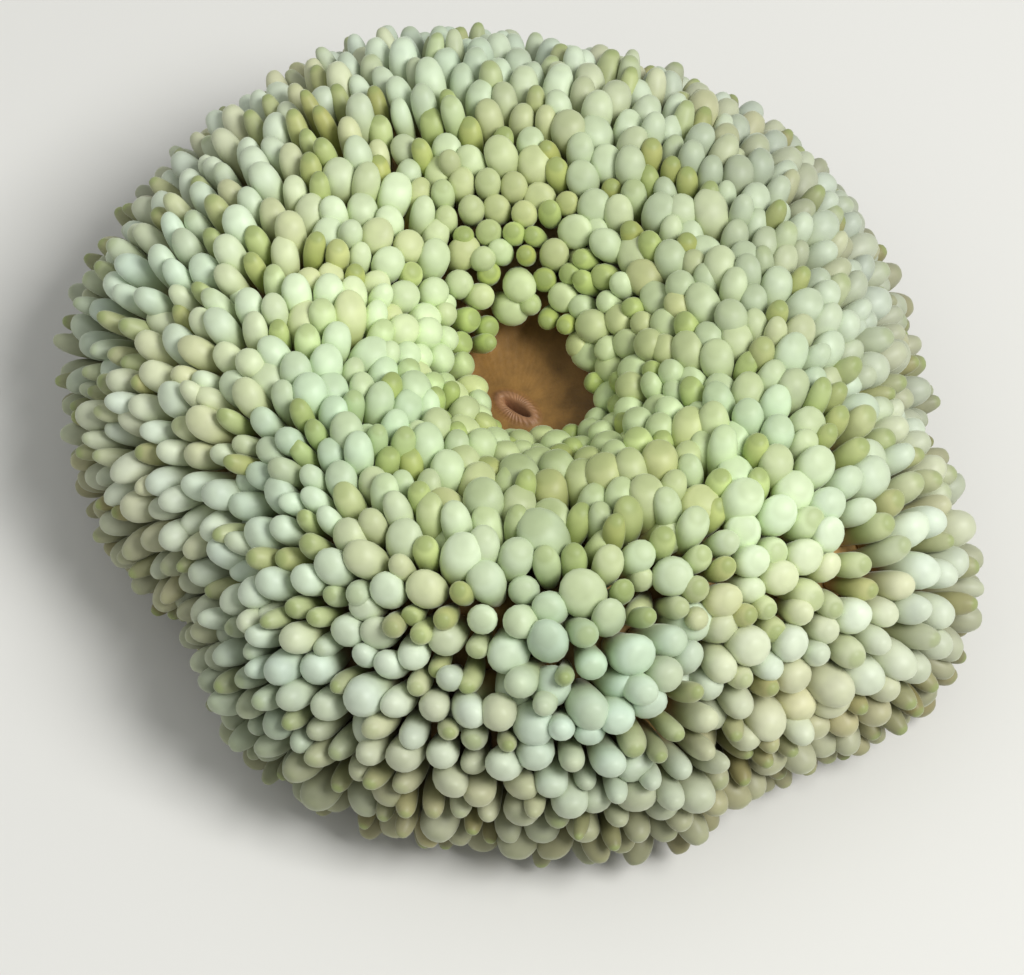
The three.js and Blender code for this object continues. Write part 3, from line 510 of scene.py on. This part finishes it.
# One on each root, turned to its stalk and then about it.
turned = node(tentacles, "FunctionNodeAlignRotationToVector", {"Vector": own["stalk"]}, axis="Z")
spin = node(tentacles, "FunctionNodeAxisAngleToRotation", {"Axis": (0, 0, 1), "Angle": own["spin"]})
spun = node(tentacles, "FunctionNodeRotateRotation", {
    "Rotation": turned.outputs[0], "Rotate By": spin.outputs[0],
}, rotation_space="LOCAL")
planted = node(tentacles, "GeometryNodeInstanceOnPoints", {
    "Points": given["Roots"], "Instance": globe_station.outputs[0], "Rotation": spun.outputs[0],
})
real = node(tentacles, "GeometryNodeRealizeInstances", {"Geometry": planted.outputs[0]})
# Each point's way out from its stalk's line.
from_root = node(tentacles, "ShaderNodeVectorMath", {
    0: place.outputs[0], 1: own["root"],
}, operation="SUBTRACT")
up_stalk = node(tentacles, "ShaderNodeVectorMath", {
    0: from_root.outputs[0], 1: own["stalk"],
}, operation="DOT_PRODUCT")
up_line = node(tentacles, "ShaderNodeVectorMath", {
    0: own["stalk"], "Scale": up_stalk.outputs["Value"],
}, operation="SCALE")
aside = node(tentacles, "ShaderNodeVectorMath", {
    0: from_root.outputs[0], 1: up_line.outputs[0],
}, operation="SUBTRACT")
way_out = node(tentacles, "ShaderNodeVectorMath", {0: aside.outputs[0]}, operation="NORMALIZE")
# Its height and girth there, from curves with a value for each ring, from root to tip.
curves = {}
for name, values in (("height", RING_HEIGHTS), ("bulb", BULB_GIRTHS), ("finger", FINGER_GIRTHS)):
    made = node(tentacles, "ShaderNodeFloatCurve", {"Value": own["station"]})
    made.mapping.use_clip = False
    curve = made.mapping.curves[0]
    curve.points[0].location = (0, values[0])
    curve.points[-1].location = (1, values[-1])
    for i in range(1, len(values) - 1):
        curve.points.new(i / (len(values) - 1), values[i])
    for point in curve.points:
        point.handle_type = "VECTOR"
    made.mapping.update()
    curves[name] = made.outputs[0]
girth = node(tentacles, "ShaderNodeMix", {0: own["rim"], 2: curves["bulb"], 3: curves["finger"]})
half_width = node(tentacles, "ShaderNodeMath", {
    0: girth.outputs[0], 1: own["half_width"],
}, operation="MULTIPLY")
# Dents make the bulbs a little uneven.
dent_ray = node(tentacles, "ShaderNodeVectorMath", {
    0: way_out.outputs[0], "Scale": DENT_REACH * MM,
}, operation="SCALE")
on_line = node(tentacles, "ShaderNodeVectorMath", {0: own["root"], 1: up_line.outputs[0]})
dent_place = node(tentacles, "ShaderNodeVectorMath", {0: dent_ray.outputs[0], 1: on_line.outputs[0]})
dent_scale = node(tentacles, "ShaderNodeMath", {0: 1.0, 1: given["Dent Size"]}, operation="DIVIDE")
dents = node(tentacles, "ShaderNodeTexNoise", {
    "Vector": dent_place.outputs[0], "Scale": dent_scale.outputs[0], "Detail": 1.0,
})
slimmest = node(tentacles, "ShaderNodeMath", {0: 1.0, 1: given["Dent"]}, operation="SUBTRACT")
stoutest = node(tentacles, "ShaderNodeMath", {0: 1.0, 1: given["Dent"]}, operation="ADD")
dented = node(tentacles, "ShaderNodeMapRange", {
    0: dents.outputs["Fac"], 1: NOISE_LOW, 2: NOISE_HIGH, 3: slimmest.outputs[0], 4: stoutest.outputs[0],
})
wide = node(tentacles, "ShaderNodeMath", {
    0: half_width.outputs[0], 1: dented.outputs[0],
}, operation="MULTIPLY")
risen = node(tentacles, "ShaderNodeMath", {
    0: curves["height"], 1: own["length"],
}, operation="MULTIPLY")
bent = node(tentacles, "ShaderNodeMath", {0: curves["height"], 1: 2.0}, operation="POWER")
# The point goes up from its root, out to its girth and over with the bend.
shaped = own["root"]
for vector, scale in (
    (own["stalk"], risen.outputs[0]), (way_out.outputs[0], wide.outputs[0]), (own["bend"], bent.outputs[0]),
):
    moved = node(tentacles, "ShaderNodeVectorMath", {0: vector, "Scale": scale}, operation="SCALE")
    shaped = node(tentacles, "ShaderNodeVectorMath", {0: shaped, 1: moved.outputs[0]}).outputs[0]
formed = node(tentacles, "GeometryNodeSetPosition", {"Geometry": real.outputs[0], "Position": shaped})
with_height = node(tentacles, "GeometryNodeStoreNamedAttribute", {
    "Geometry": formed.outputs[0], "Name": "height", "Value": curves["height"],
}, data_type="FLOAT", domain="POINT")
# Each tentacle's own patch of the map.
in_patch = node(tentacles, "ShaderNodeVectorMath", {
    0: own["OFBake"], "Scale": given["Patch"],
}, operation="SCALE")
on_map = node(tentacles, "ShaderNodeVectorMath", {0: in_patch.outputs[0], 1: own["patch"]})
mapped = node(tentacles, "GeometryNodeStoreNamedAttribute", {
    "Geometry": with_height.outputs[0], "Name": "OFBake", "Value": on_map.outputs[0],
}, data_type="FLOAT2", domain="CORNER")
smooth = node(tentacles, "GeometryNodeSetShadeSmooth", {
    "Geometry": mapped.outputs[0], "Shade Smooth": True,
})
coated = node(tentacles, "GeometryNodeSetMaterial", {
    "Geometry": smooth.outputs[0], "Material": given["Flesh"],
})
node(tentacles, "NodeGroupOutput", {"Tentacles": coated.outputs[0]})

# Tentacle flesh is thin, wet and full of green algae: yellow green near the mouth, paler and
# greyer outwards, nearly white towards the tip, partly its own colour and partly painted light on
# the lit top, with tan at the base, and darker and browner under the rim as painted shade. The
# slack ones stay olive green, partly their own colour and partly painted shade where they sit deep
# between stouter ones, with an olive dot on the tip that is faint on the others. It looks satin.
tentacle_flesh = bpy.data.materials.new("thin translucent tentacle flesh")
tentacle_flesh.use_nodes = True
tree = tentacle_flesh.node_tree
tree.nodes.clear()
STOPS_OUTWARDS = (0, 0.33, 0.64, 0.90)
# the last stop, under the rim, is darker and browner: painted shade
COLORS_OUTWARDS = {  # at the mouth, partway, partway and under the rim
    "base": (0xbcae62, 0xb8a268, 0xb09262, 0x5c4a2e),
    "bulb": (0xb4c47c, 0xb9c58e, 0xbac29c, 0x86805c),
    # the tip colours are partly the flesh's own and partly painted light on the lit top
    "tip": (0xd6e6b4, 0xd4e2c0, 0xd4decb, 0xa4a382),
    "slack bulb": (0x9aae54, 0x9cac5c, 0x9ca068, 0x6c6848),
    "slack tip": (0xbbcd78, 0xbcc984, 0xb6ba90, 0x8a8762),
}
looks = {  # every number and colour of the flesh, by name
    "all": 1.0, "blue of the cool ones": color(0xd4ecee), "warm cream": color(0xf6ead2),
    "olive of the dot": color(0x8c9a5e),
}
for name in ("outward", "slack", "tone_light_and_shade", "cool", "cream", "height"):
    looks[name] = node(tree, "ShaderNodeAttribute", attribute_name=name).outputs["Fac"]
for name, hex_values in COLORS_OUTWARDS.items():
    made = node(tree, "ShaderNodeValToRGB", {0: looks["outward"]}, label=name)
    ramp = made.color_ramp
    while len(ramp.elements) < len(hex_values):
        ramp.elements.new(0.5)
    for stop, position, hex_value in zip(ramp.elements, STOPS_OUTWARDS, hex_values):
        stop.position = position
        stop.color = color(hex_value)
    looks[name] = made.outputs[0]
place = node(tree, "ShaderNodeTexCoord")
clouds = node(tree, "ShaderNodeTexNoise", {
    "Vector": place.outputs["Object"], "Scale": 420, "Detail": 1, "Roughness": 0.55,  # some 2 mm
})
looks["noise"] = clouds.outputs["Fac"]
for name, source, low, high, least, most, ease in (
    ("above the base", "height", 0.10, 0.52, 0, 1, "SMOOTHSTEP"),
    # paler towards the tip: partly the flesh's own colour, partly painted light on the lit top
    ("near the tip", "height", 0.42, 0.92, 0, 1, "SMOOTHSTEP"),
    ("on the dot", "height", 0.93, 1.01, 0, 1, "SMOOTHSTEP"),
    ("depth of the dot", "slack", 0, 1, 0.12, 0.70, "LINEAR"),
    ("clouds", "noise", NOISE_LOW, NOISE_HIGH, 0.92, 1.06, "LINEAR"),
):
    made = node(tree, "ShaderNodeMapRange", {
        0: looks[source], 1: low, 2: high, 3: least, 4: most,
    }, interpolation_type=ease)
    looks[name] = made.outputs[0]
made = node(tree, "ShaderNodeMath", {
    0: looks["on the dot"], 1: looks["depth of the dot"],
}, operation="MULTIPLY")
looks["dot"] = made.outputs[0]
for name, amount, under, over, blend in (  # each layer goes over an earlier one
    ("any bulb", "slack", "bulb", "slack bulb", "MIX"),
    ("any tip", "slack", "tip", "slack tip", "MIX"),
    ("lower part", "above the base", "base", "any bulb", "MIX"),
    ("whole", "near the tip", "lower part", "any tip", "MIX"),
    ("cooled", "cool", "whole", "blue of the cool ones", "MULTIPLY"),
    ("clouded", "all", "cooled", "clouds", "MULTIPLY"),
    # the tone layer carries painted light and shade as well as each tentacle's own tone
    ("toned", "all", "clouded", "tone_light_and_shade", "MULTIPLY"),
    ("creamy", "cream", "toned", "warm cream", "MULTIPLY"),
    ("dotted", "dot", "creamy", "olive of the dot", "MIX"),
):
    made = node(tree, "ShaderNodeMix", {
        0: looks[amount], 6: looks[under], 7: looks[over],
    }, data_type="RGBA", blend_type=blend)
    looks[name] = made.outputs[2]
surface = node(tree, "ShaderNodeBsdfPrincipled", {
    "Base Color": looks["dotted"], "Roughness": 0.45, "IOR": 1.36,
    "Sheen Weight": 0.42, "Sheen Roughness": 0.35, "Sheen Tint": color(0xe9f0dc),
})
node(tree, "ShaderNodeOutputMaterial", {"Surface": surface.outputs[0]})

# Round stretches of the disc differ from the rest: where the middle of each lies, in degrees and
# mm, how wide it is, and how strong.
# painted light and shade: the paler patches are painted light, the darker ones painted shade
PAINTED_LIGHT_AND_SHADE_PATCHES = (  # paler ones, and darker ones below 0
    (-81, 22, 12, -0.20), (33, 42, 26, -0.24), (172, 24, 15, 0.12), (-45, 46, 15, 0.24),
    (180, 50, 18, 0.08), (-95, 48, 15, 0.08),
)
COOLER = (  # ones that lean to blue
    (-145, 27, 12, 0.45), (167, 47, 11, 0.35), (-27, 35, 12, 0.35), (-80, 44, 10, 0.5),
    (-125, 56, 12, 0.6), (100, 46, 13, 0.3),
)
GREENER = ((-81, 24, 13, 0.45), (-45, 32, 12, 0.30), (95, 24, 12, 0.25), (-5, 20, 10, 0.25))
FULLER = ((-42, 46, 14, 0.13), (-108, 40, 10, 0.06))  # ones where the bulbs are stouter


def patched(patches):
    """What some round patches of the disc add up to at each tentacle."""
    total = np.zeros(len(root))
    for degrees, radius, wide, most in patches:
        middle = from_degrees(degrees, radius)
        off = np.hypot(root[:, 0] - middle[0], root[:, 1] - middle[1]) / wide
        total += most * np.exp(-off * off)
    return total


# Where a tentacle stands: how far out from the mouth, how near the front, and how near the
# front right. In what follows a pair of numbers says between which shares of the way out a thing
# sets in or ends.
FRONT, FRONT_WIDE, FRONT_RIGHT = -86, 42, -50  # degrees
outwards = share(along, first_row, last_row)
off_front = ((degrees - FRONT + 180) % 360 - 180) / FRONT_WIDE
at_front = np.exp(-off_front * off_front)
front_right = 0.5 + 0.5 * np.cos(angle - math.radians(FRONT_RIGHT))

# Each bulb fills only part of the room that it keeps: most of it round the mouth and on the
# swollen front, less of it outwards, and the slack ones least.
GIRTH, GIRTH_LESS, LESS_FROM, FRONT_RIGHT_KEEPS = 1.07, 0.24, (0.15, 0.45), 0.6
GIRTH_VARIES, FRONT_VARIES = 0.22, 0.30  # with how stout each is, and how much more on the front
FRONT_LESS, FRONT_LESS_FROM = 0.09, (0.2, 0.4)
girth_of = GIRTH - GIRTH_LESS * share(outwards, *LESS_FROM) * (1 - FRONT_RIGHT_KEEPS * front_right)
stouter = (GIRTH_VARIES + FRONT_VARIES * at_front) * (stoutness - 0.5)
girth_of += stouter - FRONT_LESS * at_front * share(outwards, *FRONT_LESS_FROM)
girth_of += patched(FULLER)

# Tips bend off their stalks' lines: each its own way, the outer ones away from the mouth, those
# on the front up, the lowest clear of the floor, and the rest with the current.
BEND = 0.45  # of the width
BEND_AWAY, AWAY_FROM = 1.4, (0.25, 0.6)  # mm
BEND_UP, UP_FROM, UP_UNTIL = 2.2, (0.35, 0.6), (0.78, 0.92)
OFF_FLOOR = 0.7
SWAY, SWAY_FROM, SWAY_UNTIL, FRONT_STILL_FROM = (-0.2, 2.0, 0.0), (0.05, 0.20), (0.5, 0.7), (0.35, 0.55)
spread = unit(np.stack([chance(index, trait) - 0.5 for trait in (7, 8, 9)], axis=1))
bend = spread - (spread * way).sum(axis=1, keepdims=True) * way
bend *= (BEND * width * chance(index, 10))[:, None]
away = np.stack([np.cos(angle), np.sin(angle), np.zeros_like(angle)], axis=1)
bend += away * (BEND_AWAY * (1 - at_front) * share(outwards, *AWAY_FROM))[:, None]
bend[:, 2] += BEND_UP * at_front * share(outwards, *UP_FROM) * (1 - share(outwards, *UP_UNTIL))
lowest = root[:, 2] + way[:, 2] * length - girth_of * width / 2
bend[:, 2] += np.maximum(0, OFF_FLOOR - lowest)
swayed = share(outwards, *SWAY_FROM) * (1 - share(outwards, *SWAY_UNTIL))
swayed = swayed * (1 - at_front * share(outwards, *FRONT_STILL_FROM))
bend += np.array(SWAY) * swayed[:, None]

# How pale each is: by chance, with painted light and shade over stretches of the disc, and with painted
# shade on the lowest, under the rim; and how blue, green or creamy.
TONE, TONE_VARIES = 0.80, 0.20
# painted shade: the lowest tentacles, under the rim, are darkened
RIM_PAINTED_SHADE, RIM_SHADE_FROM = 0.18, (0.75, 0.95)
CREAM_FROM = (0.4, 1.0)  # of the chance that one is creamy
tone_light_and_shade = TONE + TONE_VARIES * chance(index, 12) + patched(PAINTED_LIGHT_AND_SHADE_PATCHES)
tone_light_and_shade = tone_light_and_shade * (1 - RIM_PAINTED_SHADE * share(outwards, *RIM_SHADE_FROM))
cool = patched(COOLER)
traits = {
    "root": root * MM, "stalk": way, "bend": bend * MM, "length": length * MM,
    "half_width": girth_of * width * MM / 2, "rim": rim, "spin": chance(index, 11) * math.tau,
    "tone_light_and_shade": tone_light_and_shade, "slack": np.minimum(slack + patched(GREENER), 1), "cool": cool,
    "cream": (1 - cool) * share(chance(index, 14), *CREAM_FROM), "outward": outwards,
}

# One lobe after another: its patches of the map go by how far out and how far round each is.
PATCH_START, PATCH_FILLS = 0.1, 0.8  # of a patch's side
for sector, (name, _) in enumerate(SECTORS):
    mine = np.flatnonzero(sector_of == sector)
    rows = math.ceil(math.sqrt(len(mine)))
    by_distance = mine[np.argsort(along[mine], kind="stable")]
    patch = np.zeros((len(mine), 3))
    for row in range(rows):
        in_row = by_distance[row * rows:(row + 1) * rows]
        in_row = in_row[np.argsort(past[sector, in_row], kind="stable")]
        patch[np.searchsorted(mine, in_row), 0] = (np.arange(len(in_row)) + PATCH_START) / rows
        patch[np.searchsorted(mine, in_row), 1] = (row + PATCH_START) / rows
    roots = bpy.data.meshes.new(name + "_roots")
    roots.from_pydata((root[mine] * MM).tolist(), [], [])
    of_mine = {trait: values[mine] for trait, values in traits.items()}
    of_mine["patch"] = patch
    for trait, values in of_mine.items():
        kind, field = ("FLOAT_VECTOR", "vector") if values.ndim == 2 else ("FLOAT", "value")
        made = roots.attributes.new(trait, kind, "POINT")
        made.data.foreach_set(field, values.astype(np.float32).ravel())
    growing = bpy.data.objects.new(name + "_growing", roots)
    bpy.context.collection.objects.link(growing)
    modifier = growing.modifiers.new("tentacles", "NODES")
    modifier.node_group = tentacles
    sizes = {
        "Sides": TENTACLE_SIDES, "Rings": TENTACLE_RINGS, "Dent": DENT, "Dent Size": DENT_SIZE * MM,
        "Patch": PATCH_FILLS / rows, "Flesh": tentacle_flesh,
    }
    for socket in tentacles.interface.items_tree:
        if socket.in_out == "INPUT" and socket.name in sizes:
            modifier[socket.identifier] = sizes[socket.name]
    grown = growing.evaluated_get(bpy.context.evaluated_depsgraph_get())
    lobe_mesh = bpy.data.meshes.new_from_object(grown)
    lobe_mesh.name = name.replace("disc_lobe", "tentacles")
    bpy.data.objects.remove(growing)
    lobe = bpy.data.objects.new(lobe_mesh.name, lobe_mesh)
    bpy.context.collection.objects.link(lobe)
    smoothing = lobe.modifiers.new("smoothing", "SUBSURF")
    smoothing.levels = smoothing.render_levels = 1
    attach(lobe, "root")
    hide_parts(name)

# ---- the floor and the light ----
# A sheet of plain pale matt paper lies under the animal. A soft key lamp stands on the right and
# a little in front, a broad weak fill on the left and behind, and a plain bright room is round it.
FLOOR_REACH = 4
WORLD_STRENGTH = 0.46
LIGHTS = (  # name, place, width and power
    ("key", (0.55, -0.25, 0.88), 0.45, 10.5),
    ("fill", (-0.7, 0.2, 0.9), 1.2, 1.5),
)
corners = [(x * FLOOR_REACH, y * FLOOR_REACH, 0) for x, y in ((-1, -1), (1, -1), (1, 1), (-1, 1))]
floor_mesh = bpy.data.meshes.new("floor")
floor_mesh.from_pydata(corners, [], [(0, 1, 2, 3)])
floor = bpy.data.objects.new("floor", floor_mesh)
bpy.context.collection.objects.link(floor)
paper = bpy.data.materials.new("matt backdrop paper")
paper.use_nodes = True
surface = paper.node_tree.nodes["Principled BSDF"]
surface.inputs["Base Color"].default_value = color(0xd9d8d3)
surface.inputs["Roughness"].default_value = 0.9
floor_mesh.materials.append(paper)
for name, at, wide, watts in LIGHTS:
    lamp = bpy.data.lights.new(name, "AREA")
    lamp.size = wide
    lamp.energy = watts
    lamp_object = bpy.data.objects.new(name, lamp)
    lamp_object.location = at
    lamp_object.rotation_euler = (-Vector(at)).to_track_quat("-Z", "Y").to_euler()
    bpy.context.collection.objects.link(lamp_object)
world = bpy.data.worlds.new("soft studio")
world.use_nodes = True
world.node_tree.nodes["Background"].inputs["Color"].default_value = color(0xeef0f0)
world.node_tree.nodes["Background"].inputs["Strength"].default_value = WORLD_STRENGTH
bpy.context.scene.world = world
bpy.context.scene.view_settings.view_transform = "Standard"  # colours show as they are mixed
